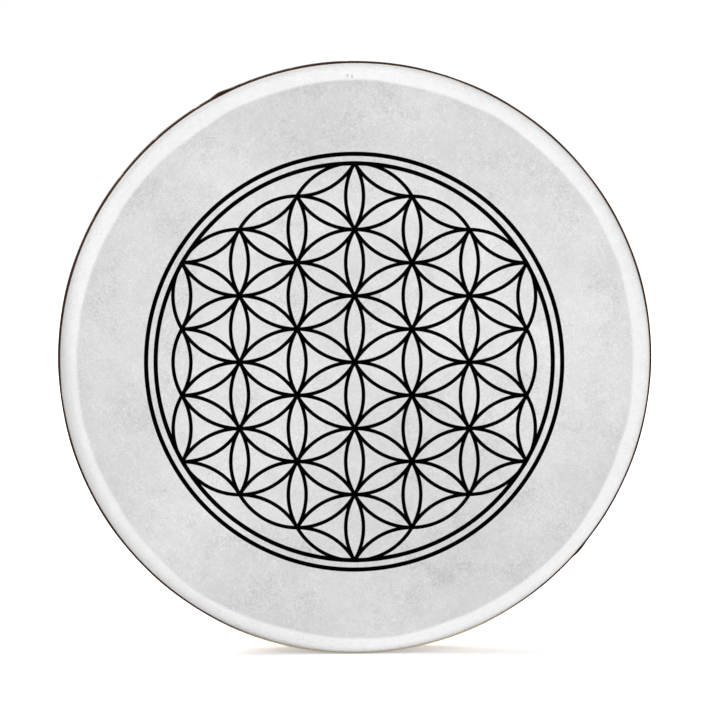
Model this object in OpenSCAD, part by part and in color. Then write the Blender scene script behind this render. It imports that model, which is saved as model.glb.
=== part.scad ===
// Shaman drum: a hide head stretched over a bent wooden hoop. A leather trim band is tacked over
// the skirt of the hide. At the back, four corded arms hold a leather-covered grip ring.
// Millimetres. +Z is up, the head faces -Y, and the origin is the centre of the grip ring.

/* [Hoop] */
// Outside diameter of the drum, over the trim band
drum_d = 400; // [320:1:500]
// Depth of the hoop, from its front edge to its back rim
hoop_depth = 60; // [50:1:90]
// Thickness of the bent wood
hoop_wall = 11; // [9:0.5:16]
// Rounding of the outer front edge, where the hide bends over
hoop_edge_r = 4.2; // [2:0.1:6]
// Rounding of the hoop's other three edges
hoop_arris_r = 1; // [0.5:0.1:2]

/* [Head] */
// Thickness of the dried hide
hide_t = 0.8; // [0.5:0.1:1.5]
// How far the trimmed skirt of the hide shows behind the trim band
skirt_past_band = 3; // [1:0.5:8]

/* [Trim band] */
// Width of the leather band
band_w = 16; // [12:0.5:24]
// Thickness of the leather band
band_t = 1.3; // [0.8:0.1:2.5]
// Distance of the band's front edge behind the rounded shoulder of the hide
band_set = 1; // [0.5:0.5:5]
// Place of the band's lap joint, in degrees from +X towards +Z
lap_angle = 117; // [0:1:359]
// Height of the lap above the rest of the band
lap_rise = 1.2; // [0.4:0.1:2]
// Radius to which the skived end of the band bends over the lap
lap_r = 40; // [20:1:80]

/* [Tacks] */
// Number of tacks around the band
tack_count = 36; // [18:1:60]
// Diameter of a tack's flat head
tack_head_d = 6; // [4:0.5:9]
// Thickness of a tack's head
tack_head_t = 0.6; // [0.4:0.1:0.8]
// Height of a tack's head above the leather that it is driven into
tack_proud = 0.1; // [0:0.05:0.4]
// Diameter of a tack's shank
tack_shank_d = 1.4; // [1:0.1:2]
// Length of a tack's shank below the head
tack_shank_l = 9; // [6:0.5:10]

/* [Grip ring] */
// Diameter of the ring at the middle of its bar
ring_d = 60; // [50:1:90]
// Diameter of the ring's steel bar
ring_bar_d = 8; // [5:0.5:10]
// Thickness of the leather cover
cover_t = 1.9; // [1:0.1:3]
// Width of the sewn seam, on the player's side of the cover
seam_w = 0.6; // [0.3:0.1:1.5]
// Distance from the middle of the ring to the back rim of the hoop
grip_set = 14; // [13:0.5:25]

/* [Arms] */
// Diameter of the cord
cord_d = 4; // [3:0.1:4.8]
// Gap between the strands that lie side by side
strand_gap = 0.5; // [0.45:0.05:1.5]
// Distance between the two holes of an arm, outside the hoop
leg_spread = 32; // [20:1:60]
// Radius to which the cord bends at a hole, at its middle
corner_r = 4; // [3.5:0.1:6]
// How much wider than its groove a hole for the cord is, on each side
hole_ease = 0.2; // [0.1:0.05:0.4]
// Height of the cord above the bare wood, where it crosses outside the hoop
bight_proud = 0.4; // [0:0.1:0.7]
// Radius to which the strands bend into and out of the whipping, at their middle
strand_bend_r = 15; // [8:1:25]
// Length of the cut ends that show past the whipping
tail_l = 7; // [3:0.5:20]

/* [Whippings] */
// Diameter of the whipping twine
whip_d = 2.4; // [1.5:0.1:3]
// Number of turns of a whipping
whip_turns = 8; // [4:1:12]
// Gap between one turn and the next
whip_gap = 0.5; // [0.45:0.05:1.5]
// Distance from the middle of the ring's bar to the first turn
whip_set = 28; // [24:1:50]
// Straight stretch of the strands beyond the first and last turns
whip_margin = 4; // [3:0.5:10]

/* [Fits] */
// Gap between faces that lie on each other, such as hide on wood
seat_gap = 0.05; // [0.02:0.01:0.1]
// Gap around a tack in its hole
tack_gap = 0.1; // [0.05:0.05:0.3]
// Gap around a cord in its hole, and between a cord and what it goes round
cord_gap = 0.3; // [0.25:0.05:0.5]

/* [Hidden] */
$fn = 96;
round_fn = 32;
small_fn = 24;
cut = 1;

// Radii of the layers around the drum, from the outside in
band_r = drum_d / 2;
hide_r = band_r - band_t - seat_gap;
hoop_r = hide_r - hide_t - seat_gap;
bore_r = hoop_r - hoop_wall;
hide_edge_r = hoop_edge_r + seat_gap + hide_t;

// Places along the drum's axis, where greater is nearer the head
back_h = -grip_set;
hoop_front_h = hoop_depth - grip_set;
hide_front_h = hoop_front_h + seat_gap + hide_t;
band_front_h = hide_front_h - hide_edge_r - band_set;
band_back_h = band_front_h - band_w;
skirt_h = band_back_h - skirt_past_band;
tack_h = (band_front_h + band_back_h) / 2;
head_seat_r = band_r + tack_proud - tack_head_t;

// The ring, its cover and the cord that goes round it
ring_r = ring_d / 2;
cover_in_r = ring_bar_d / 2 + seat_gap;
cover_r = cover_in_r + cover_t;
cord_r = cord_d / 2;
cord_room_r = cord_r + cord_gap;
cord_hole_r = cord_room_r + hole_ease;
cord_sides = 8;
cord_bend_steps = 2;
cord_corner_steps = 5;
cord_loop_steps = 12;
loop_r = cover_r + cord_room_r;

// An arm points up: strand_x is how far a strand lies to the side, and to the front or the back
strand_x = (cord_d + strand_gap) / 2;
bight_r = hoop_r + bight_proud - cord_r;
whip_pitch = whip_d + whip_gap;
whip_start_z = ring_r + whip_set;
whip_end_z = whip_start_z + whip_turns * whip_pitch;
flare_z = whip_start_z - whip_margin;
fork_z = whip_end_z + whip_margin;
tail_z = whip_end_z + tail_l;

// The corner where a leg of the cord turns from its hole into the groove outside the hoop
corner_a = asin((leg_spread / 2 - corner_r) / (bight_r - corner_r));
corner_x = (bight_r - corner_r) * sin(corner_a);
corner_z = (bight_r - corner_r) * cos(corner_a);
leg_reach = norm([corner_x - strand_x, corner_z - fork_z]);
leg_lean = atan2(corner_x - strand_x, corner_z - fork_z) + asin(corner_r / leg_reach);
leg_top = [corner_x + corner_r * cos(leg_lean), -strand_x, corner_z - corner_r * sin(leg_lean)];

// The strands leave the cover of the ring along its tangents
flare_reach = norm([strand_x, flare_z - ring_r]);
flare_a = asin(loop_r / flare_reach) - atan2(strand_x, flare_z - ring_r);
loop_end_y = loop_r * cos(flare_a);
loop_end_z = ring_r + loop_r * sin(flare_a);

fork = [strand_x, -strand_x, fork_z];
flare = [strand_x, -strand_x, flare_z];
flare_back = [strand_x, strand_x, flare_z];
tail_end = [strand_x, strand_x, tail_z];
loop_start = [strand_x, -loop_end_y, loop_end_z];
loop_end = [strand_x, loop_end_y, loop_end_z];

function unit(v) = v / norm(v);

// Points of an arc: angles run from the first direction towards the second
function arc(centre, first, second, radius, from, to, steps) =
    [for (i = [0 : steps])
        let (a = from + (to - from) * i / steps)
            centre + radius * (cos(a) * first + sin(a) * second)];

// Points of a route's corner, rounded to a radius
function rounded(before, corner, after, radius, steps) =
    let (come = unit(corner - before),
         go = unit(after - corner),
         turn = acos(come * go),
         inward = unit(go - come * (come * go)),
         centre = corner - come * radius * tan(turn / 2) + inward * radius)
        arc(centre, -inward, come, radius, 0, turn, steps);

// Half the cord of an arm that points up, from a cut end round the ring and out through its hole
// to the middle of the crossing outside the hoop
corner_middle = [corner_x, -strand_x, corner_z];
half_route = concat(
    [tail_end],
    rounded(tail_end, flare_back, loop_end, strand_bend_r, cord_bend_steps),
    arc([strand_x, 0, ring_r], [0, 1, 0], [0, 0, 1], loop_r, flare_a, -180 - flare_a, cord_loop_steps),
    rounded(loop_start, flare, fork, strand_bend_r, cord_bend_steps),
    rounded(flare, fork, leg_top, strand_bend_r, cord_bend_steps),
    arc(corner_middle, [1, 0, 0], [0, 0, 1], corner_r, -leg_lean, 90 - corner_a, cord_corner_steps),
    [[0, -strand_x, bight_r]]);
half_points = len(half_route);
cord_route = concat(half_route, [for (i = [half_points - 2 : -1 : 0])
                                     [-half_route[i].x, half_route[i].y, half_route[i].z]]);

// Turns what is drawn about Z so that it lies about the drum's axis, with Z towards the head
module about_drum_axis() {
    rotate([90, 0, 0]) children();
}

// Section of a strip bent into a hoop: edge rounds the outer front corner, arris the other three
module strip_section(inner, outer, back, front, edge, arris) {
    translate([inner, back + arris]) square([outer - inner, front - edge - back - arris]);
    translate([inner, back + arris]) square([outer - edge - inner, front - back - 2 * arris]);
    translate([inner + arris, back]) square([outer - inner - 2 * arris, front - edge - back]);
    translate([inner + arris, back]) square([outer - edge - inner - arris, front - back]);
    translate([outer - edge, front - edge]) circle(r = edge, $fn = round_fn);
    translate([outer - arris, back + arris]) circle(r = arris, $fn = round_fn);
    translate([inner + arris, back + arris]) circle(r = arris, $fn = round_fn);
    translate([inner + arris, front - arris]) circle(r = arris, $fn = round_fn);
}

// Filled outline of a layer that is bent over the hoop's front edge
module layer_outline(radius, back, front, edge) {
    translate([0, back]) square([radius, front - edge - back]);
    translate([0, back]) square([radius - edge, front - back]);
    translate([radius - edge, front - edge]) circle(r = edge, $fn = round_fn);
}

// Puts one child at each tack, with X pointing out of the drum
module at_tacks() {
    step = 360 / tack_count;
    for (k = [0 : tack_count - 1])
        rotate(lap_angle + (k + 0.5) * step) translate([0, 0, tack_h]) children();
}

// Rod along X, from one distance out of the axis to another
module rod_out(from, to, radius) {
    translate([from, 0, 0]) rotate([0, 90, 0]) cylinder(r = radius, h = to - from, $fn = small_fn);
}

// Holes that the tacks' shanks pass through
module tack_holes() {
    at_tacks() rod_out(head_seat_r - tack_shank_l - tack_gap, band_r + cut, tack_shank_d / 2 + tack_gap);
}

// Straight round rod between two points
module rod(a, b, radius) {
    way = b - a;
    translate(a)
        rotate([0, acos(way.z / norm(way)), atan2(way.y, way.x)])
            cylinder(r = radius, h = norm(way), $fn = round_fn);
}

// Flat-bottomed groove for a cord where it crosses outside the hoop, from hole to hole
module cord_groove() {
    groove_a = asin(leg_top.x / bight_r);
    translate([0, -strand_x, 0]) about_drum_axis() rotate(90 - groove_a)
        rotate_extrude(angle = 2 * groove_a)
            translate([bight_r - cord_room_r, -cord_room_r]) square([2 * cord_room_r + cut, 2 * cord_room_r]);
}

// Hollows that ease the wood under a cord where it turns from the groove into its holes
module cord_corners() {
    middle_a = (90 - corner_a - leg_lean) / 2;
    for (side = [0, 1]) mirror([side, 0, 0])
        translate(corner_middle + corner_r * [cos(middle_a), 0, sin(middle_a)]) sphere(r = cord_hole_r);
}

// Holes for the two legs of a cord, drilled straight through the hoop
module cord_holes() {
    reach = unit(leg_top - fork) * (hoop_wall + cord_d);
    for (side = [0, 1]) mirror([side, 0, 0]) rod(leg_top - reach, leg_top + reach, cord_hole_r);
}

// Directions square to a route at each of its points, carried along without twisting
function way_at(p, i) = unit(p[min(i + 1, len(p) - 1)] - p[max(i - 1, 0)]);
function square_to(way, v) = unit(v - way * (way * v));
function carried(p, first) =
    [for (i = 0, side = square_to(way_at(p, 0), first);
          i < len(p);
          i = i + 1, side = i < len(p) ? square_to(way_at(p, i), side) : side)
        side];

// Round tube along a route, as one skin of triangles: sides gives the directions square to the route
module tube(p, sides, radius, count) {
    last = len(p) - 1;
    skin = [for (i = [0 : last], k = [0 : count - 1])
                p[i] + radius * (cos(360 * k / count) * sides[i]
                                 + sin(360 * k / count) * cross(way_at(p, i), sides[i]))];
    function at(i, k) = i * count + k % count;
    walls = [for (i = [0 : last - 1], k = [0 : count - 1], half = [0, 1])
                 half == 0 ? [at(i, k), at(i + 1, k), at(i, k + 1)]
                           : [at(i, k + 1), at(i + 1, k), at(i + 1, k + 1)]];
    ends = [for (k = [1 : count - 2], end = [0, last])
                end == 0 ? [at(0, 0), at(0, k), at(0, k + 1)]
                         : [at(last, 0), at(last, k + 1), at(last, k)]];
    polyhedron(points = skin, faces = concat(walls, ends));
}

// One arm, pointing up: a doubled cord from the hoop, round the ring and back to its cut ends
module arm_cord() {
    color("#d9c9a6") tube(cord_route, carried(cord_route, [1, 0, 0]), cord_r, cord_sides);
}

// Middle of the whipping twine: it hugs the four strands, with four points on each rounded corner
whip_r = whip_d / 2;
whip_bend_r = cord_room_r + whip_r;
whip_sides = 6;
corner_points = 4;
loop_points = 4 * corner_points;
corner_share = whip_bend_r * PI / 2 / (whip_bend_r * PI / 2 + 2 * strand_x);

function whip_turn(i) = 90 * floor(i / corner_points) + 90 * (i % corner_points) / (corner_points - 1);
function whip_out(i) = [cos(whip_turn(i)), sin(whip_turn(i)), 0];
function whip_corner(i) =
    let (a = 45 + 90 * floor(i / corner_points))
        strand_x * sqrt(2) * [cos(a), sin(a), 0];
function whip_rise(i) =
    whip_pitch / 4 * (floor(i / corner_points) + corner_share * (i % corner_points) / (corner_points - 1));
function whip_point(i) =
    whip_corner(i) + whip_bend_r * whip_out(i) + [0, 0, whip_start_z + whip_rise(i)];

whip_rings = whip_turns * loop_points;
whip_points = [for (i = [0 : whip_rings - 1]) whip_point(i)];
whip_gaps = [for (i = [0 : whip_rings - 1], j = [i + loop_points / 2 : whip_rings - 1])
                 norm(whip_points[i] - whip_points[j]) - whip_d];
echo(str("Least gap of a whipping to itself: ", min(whip_gaps), " mm"));

// Binding of twine around the four strands of an arm, as one unbroken tube
module arm_whipping() {
    outward = [for (i = [0 : whip_rings - 1]) square_to(way_at(whip_points, i), whip_out(i))];
    color("#4a2c17") tube(whip_points, outward, whip_r, whip_sides);
}

// Turns an arm that points up to its place, in degrees from the top towards +X
module arm_at(a) {
    rotate([0, a, 0]) children();
}

// Bent wooden hoop, drilled for the tacks and grooved and drilled for the cords
module frame_hoop() {
    color("#d2b48c") difference() {
        about_drum_axis() rotate_extrude()
            strip_section(bore_r, hoop_r, back_h, hoop_front_h, hoop_edge_r, hoop_arris_r);
        about_drum_axis() tack_holes();
        for (a = [0 : 90 : 270]) arm_at(a) cord_holes();
        for (a = [0 : 90 : 270]) arm_at(a) cord_corners();
        for (a = [0 : 90 : 270]) arm_at(a) cord_groove();
    }
}

// Hide, dried tight over the front of the hoop and down its side
module drum_head() {
    color("#e6e5e2") about_drum_axis() difference() {
        rotate_extrude() difference() {
            layer_outline(hide_r, skirt_h, hide_front_h, hide_edge_r);
            layer_outline(hoop_r + seat_gap, skirt_h - cut, hoop_front_h + seat_gap, hoop_edge_r + seat_gap);
        }
        tack_holes();
    }
}

// Leather band around the skirt, with its skived ends lapped
module trim_band() {
    color("#2a1408") about_drum_axis() difference() {
        translate([0, 0, band_back_h]) linear_extrude(band_w) difference() {
            union() {
                circle(r = band_r);
                rotate(lap_angle) translate([band_r + lap_rise - lap_r, 0]) circle(r = lap_r);
            }
            circle(r = hide_r + seat_gap);
        }
        tack_holes();
        at_tacks() rod_out(head_seat_r - seat_gap, band_r + lap_rise + cut, tack_head_d / 2 + tack_gap);
    }
}

// Flat-headed tacks, through the band and the hide into the wood
module band_tacks() {
    color("#8a6a34") about_drum_axis() at_tacks() {
        rod_out(head_seat_r, head_seat_r + tack_head_t, tack_head_d / 2);
        rod_out(head_seat_r - tack_shank_l, head_seat_r, tack_shank_d / 2);
    }
}

// Steel ring at the middle of the arms
module grip_ring() {
    color("#9a9ea3") about_drum_axis() rotate_extrude()
        translate([ring_r, 0]) circle(r = ring_bar_d / 2, $fn = round_fn);
}

// Leather sleeve around the ring, open along its sewn seam
module ring_cover() {
    color("#5a3519") about_drum_axis() rotate_extrude() translate([ring_r, 0]) difference() {
        circle(r = cover_r, $fn = round_fn);
        circle(r = cover_in_r, $fn = round_fn);
        translate([-seam_w / 2, -cover_r - cut]) square([seam_w, cover_r + cut]);
    }
}

module arm_cord_top() { arm_at(0) arm_cord(); }
module arm_cord_right() { arm_at(90) arm_cord(); }
module arm_cord_bottom() { arm_at(180) arm_cord(); }
module arm_cord_left() { arm_at(270) arm_cord(); }
module arm_whipping_top() { arm_at(0) arm_whipping(); }
module arm_whipping_right() { arm_at(90) arm_whipping(); }
module arm_whipping_bottom() { arm_at(180) arm_whipping(); }
module arm_whipping_left() { arm_at(270) arm_whipping(); }

frame_hoop();
drum_head();
trim_band();
band_tacks();
grip_ring();
ring_cover();
arm_cord_top();
arm_cord_right();
arm_cord_bottom();
arm_cord_left();
arm_whipping_top();
arm_whipping_right();
arm_whipping_bottom();
arm_whipping_left();
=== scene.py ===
# Shaman drum: a printed hide head on a bent ash hoop, a tacked leather trim band around its side, and
# a leather-covered grip ring at the back, held by four corded arms.
# Metres. +Z is up, the head faces -Y, and the origin is the centre of the grip ring.
import random
from math import acos, asin, atan2, cos, hypot, pi, radians, sin, sqrt, tan

import bmesh
import bpy
from mathutils import Matrix, Vector


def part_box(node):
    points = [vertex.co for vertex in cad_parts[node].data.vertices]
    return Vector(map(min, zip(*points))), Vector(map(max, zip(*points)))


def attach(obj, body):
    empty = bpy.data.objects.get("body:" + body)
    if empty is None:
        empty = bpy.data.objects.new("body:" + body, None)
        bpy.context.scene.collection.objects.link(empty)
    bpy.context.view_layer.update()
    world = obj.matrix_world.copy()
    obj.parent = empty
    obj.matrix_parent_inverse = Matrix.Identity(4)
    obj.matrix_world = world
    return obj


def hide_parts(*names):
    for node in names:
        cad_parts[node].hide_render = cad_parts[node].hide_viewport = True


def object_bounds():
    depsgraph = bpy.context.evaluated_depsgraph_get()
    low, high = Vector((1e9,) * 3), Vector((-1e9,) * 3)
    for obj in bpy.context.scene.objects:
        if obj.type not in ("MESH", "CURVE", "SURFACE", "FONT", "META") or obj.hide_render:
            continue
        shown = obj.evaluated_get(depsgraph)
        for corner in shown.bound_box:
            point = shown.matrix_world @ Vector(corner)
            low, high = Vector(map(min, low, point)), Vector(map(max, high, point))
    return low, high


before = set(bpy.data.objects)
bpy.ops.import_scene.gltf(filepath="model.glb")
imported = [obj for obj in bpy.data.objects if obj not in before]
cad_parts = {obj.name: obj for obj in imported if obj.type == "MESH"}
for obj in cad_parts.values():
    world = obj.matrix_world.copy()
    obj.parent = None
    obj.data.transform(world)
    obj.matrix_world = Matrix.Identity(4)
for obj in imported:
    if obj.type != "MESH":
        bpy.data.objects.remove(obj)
cad_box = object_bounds()

# Frame hoop
# One strip of ash, steamed, bent round and glued on a long scarf, then sanded and waxed.
# The solid, with its tack holes and its grooves for the cords, stays and gets its wood.
mm = 0.001
hoop_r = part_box("frame_hoop")[1].x
hoop_wall = 11 * mm
hoop_mid_r = hoop_r - hoop_wall / 2
hoop_round = 2 * pi * hoop_mid_r
scarf_l = 70 * mm
scarf_turn = radians(205)
glue_w = 0.4 * mm


def linear(colour):
    """Linear red, green, blue and alpha of an sRGB hex colour."""
    parts = [int(colour[i:i + 2], 16) / 255 for i in (1, 3, 5)]
    return [c / 12.92 if c <= 0.04045 else ((c + 0.055) / 1.055) ** 2.4 for c in parts] + [1]


def material(name):
    """A material with no nodes yet."""
    made = bpy.data.materials.new(name)
    made.use_nodes = True
    made.node_tree.nodes.clear()
    return made


def add(tree, kind, sockets, **settings):
    """A shader node with its settings. Each socket gets a value, a node's first output or an output."""
    node = tree.nodes.new("ShaderNode" + kind)
    for name, value in settings.items():
        setattr(node, name, value)
    for name, value in sockets.items():
        if isinstance(value, bpy.types.Node):
            value = next(output for output in value.outputs if output.enabled)
        if isinstance(value, bpy.types.NodeSocket):
            tree.links.new(value, node.inputs[name])
        else:
            node.inputs[name].default_value = value
    return node


def off_axis(tree, place):
    """A place without its depth, and how far that lies from the drum's axis."""
    flat = add(tree, "VectorMath", {0: place, 1: (1, 0, 1)}, operation="MULTIPLY")
    return flat, add(tree, "VectorMath", {0: flat}, operation="LENGTH")


# Waxed ash: growth rings run round the hoop as bands, wide in good years and narrow in bad ones, each with
# open pores drawn out along the grain, under a soft sheen. The pores are drawn twice as wide as they are.
ash = material("waxed_bent_ash")
wood = ash.node_tree
ring_pitch = 2.6 * mm
ring_tilt = radians(24)
ring_sway = 7 * mm
ring_sway_l = 170 * mm
ring_sway_w = 40 * mm
year_change = 3.4
pore_l = 6 * mm
pore_w = 0.4 * mm
pore_depth = 0.15 * mm
stripe_l = 60 * mm
stripe_w = 1.6 * mm
place = add(wood, "TexCoord", {}).outputs["Object"]
axes = add(wood, "SeparateXYZ", {0: place}).outputs
turn = add(wood, "Math", {0: axes["Z"], 1: axes["X"]}, operation="ARCTAN2")
out = off_axis(wood, place)[1]
slope = scarf_l / hoop_wall
lean = add(wood, "Math", {0: out, 1: -slope, 2: slope * hoop_mid_r - scarf_turn * hoop_mid_r},
           operation="MULTIPLY_ADD")
arc_l = add(wood, "Math", {0: turn, 1: hoop_mid_r, 2: lean}, operation="MULTIPLY_ADD")
along = add(wood, "Math", {0: arc_l, 1: hoop_round, 2: 0}, operation="WRAP")
to_glue = add(wood, "Math", {0: along, 1: hoop_round / 2}, operation="PINGPONG")
strip = add(wood, "CombineXYZ", {0: along, 1: axes["Y"], 2: out})


def along_grain(length, width, detail):
    """Noise that is drawn out along the strip."""
    spot = add(wood, "VectorMath", {0: strip, 1: (1 / length, 1 / width, 1 / width)}, operation="MULTIPLY")
    return add(wood, "TexNoise", {"Vector": spot, "Scale": 1, "Detail": detail})


warp = along_grain(ring_sway_l, ring_sway_w, 2)
tilted = add(wood, "VectorMath", {0: strip, 1: (0, sin(ring_tilt) / ring_pitch, cos(ring_tilt) / ring_pitch)},
             operation="DOT_PRODUCT")
ring_count = add(wood, "Math", {0: warp, 1: ring_sway / ring_pitch, 2: tilted}, operation="MULTIPLY_ADD")
years = add(wood, "TexNoise", {"W": ring_count, "Scale": 0.4, "Detail": 2}, noise_dimensions="1D")
ring_count = add(wood, "Math", {0: years, 1: year_change, 2: ring_count}, operation="MULTIPLY_ADD")
ring = add(wood, "Math", {0: ring_count}, operation="FRACT")
early = add(wood, "MapRange", {0: ring, 1: 0.02, 2: 0.42, 3: 1, 4: 0}, interpolation_type="SMOOTHSTEP")
pore = add(wood, "MapRange", {0: along_grain(pore_l, pore_w, 1), 1: 0.57, 2: 0.68})
pore = add(wood, "Math", {0: pore, 1: add(wood, "MapRange", {0: early, 3: 0.12, 4: 1})}, operation="MULTIPLY")
stripe = along_grain(stripe_l, stripe_w, 3)
tone = add(wood, "Mix", {0: early, 6: linear("#dfc79e"), 7: linear("#c6a372")}, data_type="RGBA")
tone = add(wood, "Mix", {0: add(wood, "MapRange", {0: stripe, 1: 0.35, 2: 0.7, 4: 0.4}), 6: tone,
                         7: linear("#c9aa7c")}, data_type="RGBA")
tone = add(wood, "Mix", {0: add(wood, "Math", {0: pore, 1: 0.75}, operation="MULTIPLY"), 6: tone,
                         7: linear("#8a6840")}, data_type="RGBA")
glue = add(wood, "MapRange", {0: to_glue, 1: glue_w / 2, 2: glue_w, 3: 0.85, 4: 0})
tone = add(wood, "Mix", {0: glue, 6: tone, 7: linear("#5f4324")}, data_type="RGBA")
dent = add(wood, "Math", {0: pore, 1: -1}, operation="MULTIPLY")
grain = add(wood, "Bump", {"Height": dent, "Distance": pore_depth, "Strength": 0.6})
sheen = add(wood, "MapRange", {0: stripe, 1: 0.3, 2: 0.7, 3: 0.42, 4: 0.58})
skin = add(wood, "BsdfPrincipled", {"Base Color": tone, "Roughness": sheen, "Normal": grain})
add(wood, "OutputMaterial", {0: skin})
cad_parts["frame_hoop"].data.materials.clear()
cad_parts["frame_hoop"].data.materials.append(ash)

# Drum head
# One goat hide, soaked, stretched over the front of the hoop and down its side, and dried tight.
# Its skirt was trimmed by hand behind the band. The figure on it is printed in black.
head_low, head_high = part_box("drum_head")
hide_r = head_high.x
front_y = head_low.y
skirt_y = head_high.y
hide_t = 0.8 * mm
bend_r = 5.05 * mm
bore_r = hoop_r - hoop_wall
sink = 0.2 * mm
sink_w = 6 * mm
loose_l = 5 * mm
uneven = 0.35 * mm
head_steps = 288
bend_steps = 12
trim_steps = 4


def smooth(value, start, end):
    """A share that rises softly from 0 at the start to 1 at the end."""
    share = min(1, max(0, (value - start) / (end - start)))
    return share * share * (3 - 2 * share)


def arc(centre, first, second, radius, start, end, steps):
    """Points of an arc: angles run from the first direction towards the second."""
    turns = [start + (end - start) * i / steps for i in range(steps + 1)]
    return [centre + radius * (cos(a) * first + sin(a) * second) for a in turns]


def spun(points, steps):
    """A closed skin, made by turning a profile of points in the XY plane round the Y axis."""
    shape = bmesh.new()
    verts = [shape.verts.new(p) for p in points]
    edges = [shape.edges.new((verts[i - 1], verts[i])) for i in range(len(verts))
             if points[i - 1].x or points[i].x]
    bmesh.ops.spin(shape, geom=verts + edges, cent=(0, 0, 0), axis=(0, 1, 0), angle=2 * pi, steps=steps,
                   use_merge=True)
    bmesh.ops.remove_doubles(shape, verts=shape.verts, dist=0.001 * mm)
    bmesh.ops.recalc_face_normals(shape, faces=shape.faces)
    return shape


def shown(name, shape, finish):
    """An object made of a bmesh, in its finish."""
    mesh = bpy.data.meshes.new(name)
    shape.to_mesh(mesh)
    shape.free()
    mesh.materials.append(finish)
    mesh.shade_smooth()
    made = bpy.data.objects.new(name, mesh)
    bpy.context.scene.collection.objects.link(made)
    return made


across = Vector((1, 0, 0))
inward = Vector((0, 1, 0))

# The hide's profile has its points closest together where it sinks in at the hoop and at its trimmed edge.
# That edge waves a little. Each wave has its count in a turn, its height as a share, and its start.
flat_stations = [r * mm for r in (40, 80, 120, 150, 170, 178, 181, 182.5, 184, 185.5, 187, 189, 192)]
skirt_shares = (0.2, 0.4, 0.6, 0.72, 0.82, 0.9, 0.96)
trim_waves = ((4, 1, 1), (9, 0.8, 2.5), (17, 0.6, 0), (31, 0.5, 4))


def side_of_hide(depth):
    """Points of one face of the hide, from the middle of the head to the skirt, at a depth from its face."""
    sag = [sink * (1 - smooth(r, bore_r - sink_w, bore_r)) for r in flat_stations]
    face = [Vector((0, front_y + depth + sink, 0))]
    face += [Vector((r, front_y + depth + s, 0)) for r, s in zip(flat_stations, sag)]
    centre = Vector((hide_r - bend_r, front_y + bend_r, 0))
    face += arc(centre, -inward, across, bend_r - depth, 0, pi / 2, bend_steps)
    drop = skirt_y - front_y - bend_r
    face += [Vector((hide_r - depth, front_y + bend_r + drop * share, 0)) for share in skirt_shares]
    return face


trim_centre = Vector((hide_r - hide_t / 2, skirt_y - hide_t / 2, 0))
trimmed_edge = arc(trim_centre, across, inward, hide_t / 2, 0, pi, trim_steps)
head_shape = spun(side_of_hide(0) + trimmed_edge + side_of_hide(hide_t)[::-1], head_steps)
for v in head_shape.verts:
    t = atan2(v.co.z, v.co.x)
    wave = sum(height * sin(count * t + start) for count, height, start in trim_waves)
    v.co.y += uneven * wave * smooth(v.co.y, skirt_y - loose_l, skirt_y)

# Dried rawhide: cloudy, with matted fibres and a nap that was scraped thin in some places and left in others.
# It is painted pale where the hoop's edge lies behind it, as painted light that the wood sends back through
# the hide, and painted greyer where it is free, as painted shade where light goes through it. A few hair
# holes stay as specks. Single hairs are too fine to show, so the nap is drawn in tufts. The black ink lies
# flat on it.
rawhide = material("printed_rawhide")
hide = rawhide.node_tree
place = add(hide, "TexCoord", {}).outputs["Object"]
axes = add(hide, "SeparateXYZ", {0: place}).outputs
flat, from_axis = off_axis(hide, place)
clouds = ((48 * mm, 0.5), (12 * mm, 0.22), (5 * mm, 0.17))
cloud_middle = 0.57
naps = ((2 * mm, 0.24), (1.1 * mm, 0.58), (0.7 * mm, 0.85))
rough_w = 26 * mm
fibres = ((3.5 * mm, 0.07, 0.16), (9 * mm, 0.018, 0.22))
fuzz_h = 0.12 * mm


def layered(layers, middle):
    """Noise of several sizes and depths, added up around a middle value."""
    total = middle - sum(depth for size, depth in layers) / 2
    for size, depth in layers:
        cloud = add(hide, "TexNoise", {"Vector": place, "Scale": 1 / size, "Detail": 3})
        total = add(hide, "Math", {0: cloud, 1: depth, 2: total}, operation="MULTIPLY_ADD")
    return total


rough = add(hide, "TexNoise", {"Vector": place, "Scale": 1 / rough_w, "Detail": 3, "Distortion": 0.6})
nap_left = add(hide, "MapRange", {0: rough, 1: 0.36, 2: 0.64, 3: 0.3, 4: 1.6})
mottle = add(hide, "Math", {0: layered(naps, 0), 1: nap_left, 2: layered(clouds, cloud_middle)},
             operation="MULTIPLY_ADD")
for size, thin, depth in fibres:
    fibre = add(hide, "TexNoise", {"Vector": place, "Scale": 1 / size, "Detail": 4, "Distortion": 1.2})
    fibre = add(hide, "Math", {0: fibre, 1: 0.5}, operation="SUBTRACT")
    fibre = add(hide, "Math", {0: fibre}, operation="ABSOLUTE")
    fibre = add(hide, "MapRange", {0: fibre, 1: 0, 2: thin, 3: 1, 4: 0})
    mottle = add(hide, "Math", {0: fibre, 1: depth, 2: mottle}, operation="MULTIPLY_ADD")

# The free hide is painted greyer towards its edge, as painted shadow of the hoop, which keeps light from
# coming through it from behind there. It is also greyer where its nap was left, and where the skin was
# thicker: most of all at the top, at the left and along the bottom. A few thin places are paler. Each place
# has its x, its z and its reach in millimetres, and how much greyer it is.
thick_places = ((-28, 178, 95, 0.27), (70, 165, 85, 0.14), (25, -98, 105, 0.2), (-64, -165, 65, 0.18),
                (0, -172, 60, -0.08), (125, -115, 85, 0.07), (165, 5, 60, -0.1), (-5, 50, 75, 0.12),
                (-155, 65, 120, 0.14), (-150, -66, 65, 0.16), (32, 185, 42, -0.17), (-182, -40, 62, 0.11))
full_share = 0.35
free_contrast = 0.68
free_pale = 0.32
thin_r = 105 * mm
thick_r = 175 * mm


def fading(x, z, reach, depth):
    """A value that is at its depth around a place of the head and fades to 0 at its reach."""
    away = add(hide, "VectorMath", {0: flat, 1: (x * mm, 0, z * mm)}, operation="DISTANCE")
    return add(hide, "MapRange", {0: away, 1: reach * mm * full_share, 2: reach * mm, 3: depth, 4: 0},
               interpolation_type="SMOOTHSTEP")


# Painted shade: the free hide greyer towards its edge, and a painted shadow of the hoop just inside it
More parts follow.
